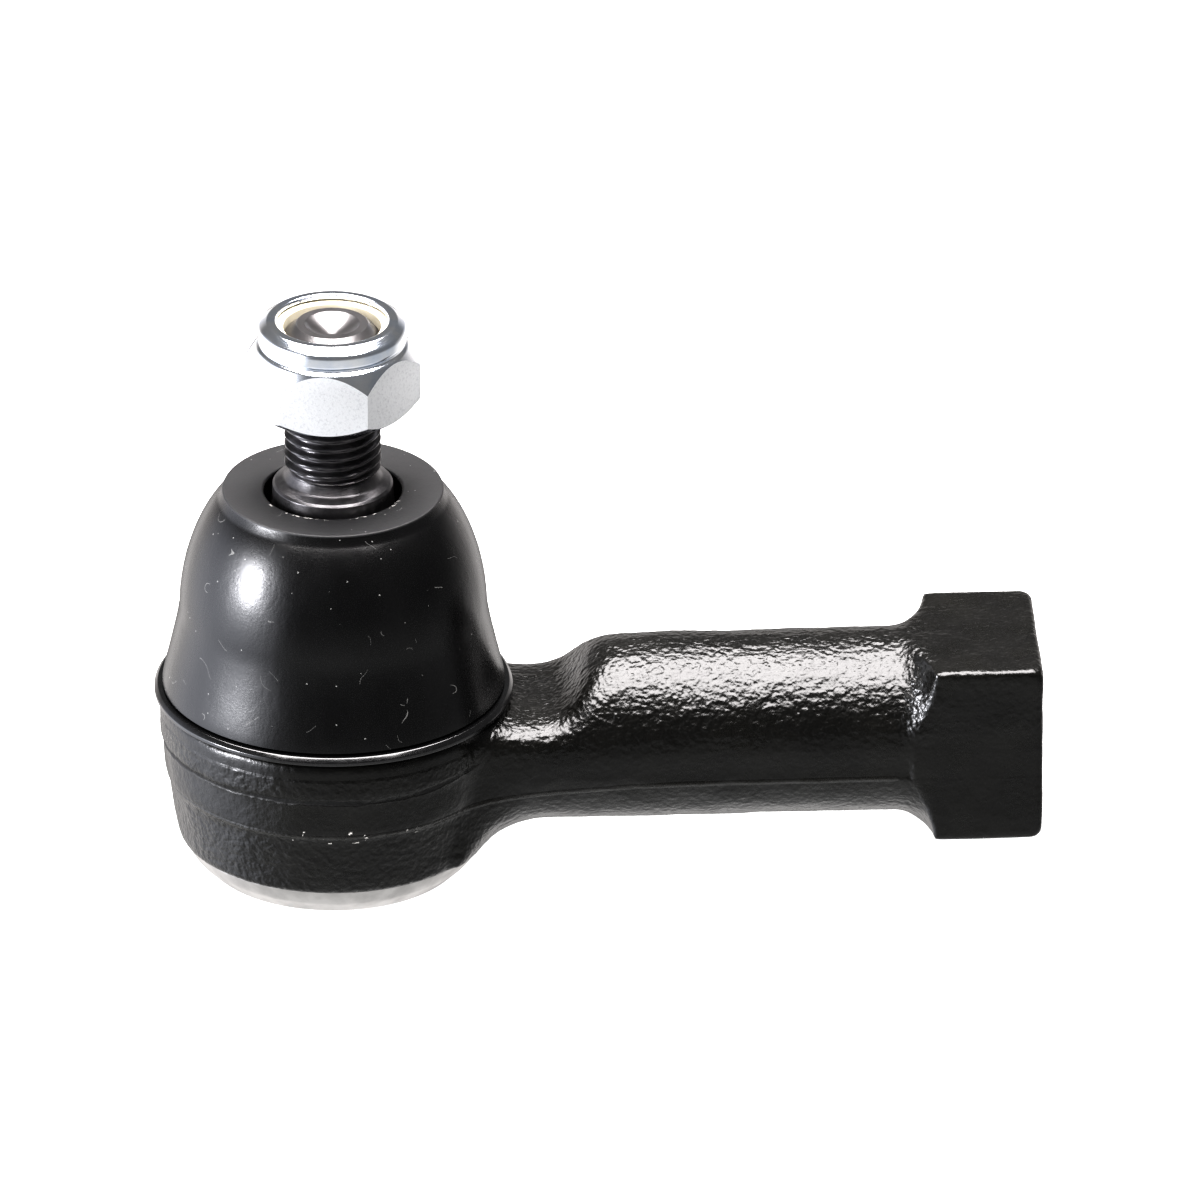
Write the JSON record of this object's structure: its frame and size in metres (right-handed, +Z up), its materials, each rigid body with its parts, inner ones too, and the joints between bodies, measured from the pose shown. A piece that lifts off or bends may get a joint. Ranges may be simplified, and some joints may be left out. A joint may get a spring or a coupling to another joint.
{
  "type": "tie rod end",
  "caption": "Outer tie rod end: forged housing with threaded shank, sprung ball joint, rubber dust boot and tapered stud with lock nut",
  "frame": {"origin": "On the stud axis, in the plane of the base, at the middle of the closing plate's outer face", "axes": "+Z up along the stud, +X along the shank towards its threaded end, +Y to the left seen from above with +X ahead"},
  "size_m": [0.1095, 0.0444, 0.0737],
  "materials": {
    "painted_forging": "gloss black paint over forged steel",
    "bearing_plastic": "natural acetal, moulded",
    "spring_steel": "oiled spring steel",
    "bare_steel": "bare machined steel",
    "boot_rubber": "satin moulded rubber",
    "black_steel": "gloss black coated steel",
    "phosphated_steel": "black phosphate, oiled",
    "zinc_plated_steel": "bright zinc plating, blue passivated",
    "nylon": "cream moulded nylon"
  },
  "bodies": {
    "body_housing": {"housing": "painted_forging", "upper_bearing_seat": "bearing_plastic", "preload_spring": "spring_steel", "closing_plate": "bare_steel", "dust_boot": "boot_rubber", "boot_base_ring": "black_steel"},
    "body_heading": {"lower_bearing_seat": "bearing_plastic"},
    "body_boot_lip": {"boot_top_ring": "spring_steel", "boot_lip_clip": "spring_steel"},
    "body_stud": {"ball_stud": "phosphated_steel"},
    "body_nut_insert": {"nylon_insert": "nylon"},
    "body_nut": {"nut_body": "zinc_plated_steel"}
  },
  "joints": [
    {"name": "swing_heading", "type": "hinge", "parent": "body_housing", "child": "body_heading", "pos_m": [0, 0, 0.01498], "axis": [0, 0, 1], "continuous": true},
    {"name": "stud_tilt", "type": "hinge", "parent": "body_heading", "child": "body_boot_lip", "pos_m": [0, 0, 0.01498], "axis": [0, 1, 0], "range_deg": [-22, 22], "deforming": ["dust_boot"]},
    {"name": "stud_spin", "type": "hinge", "parent": "body_boot_lip", "child": "body_stud", "pos_m": [0, 0, 0.01498], "axis": [0, 0, 1], "continuous": true},
    {"name": "nut_travel", "type": "slide", "parent": "body_stud", "child": "body_nut_insert", "axis": [0, 0, 1], "range_m": [-0.006, 0.0112]},
    {"name": "nut_spin", "type": "hinge", "parent": "body_nut_insert", "child": "body_nut", "pos_m": [0, 0, 0.0678], "axis": [0, 0, 1], "range_deg": [-1726, 3224]}
  ],
  "couplings": [
    {"joint": "nut_travel", "follows": "nut_spin", "m_per_rad": 0.00019894}
  ]
}
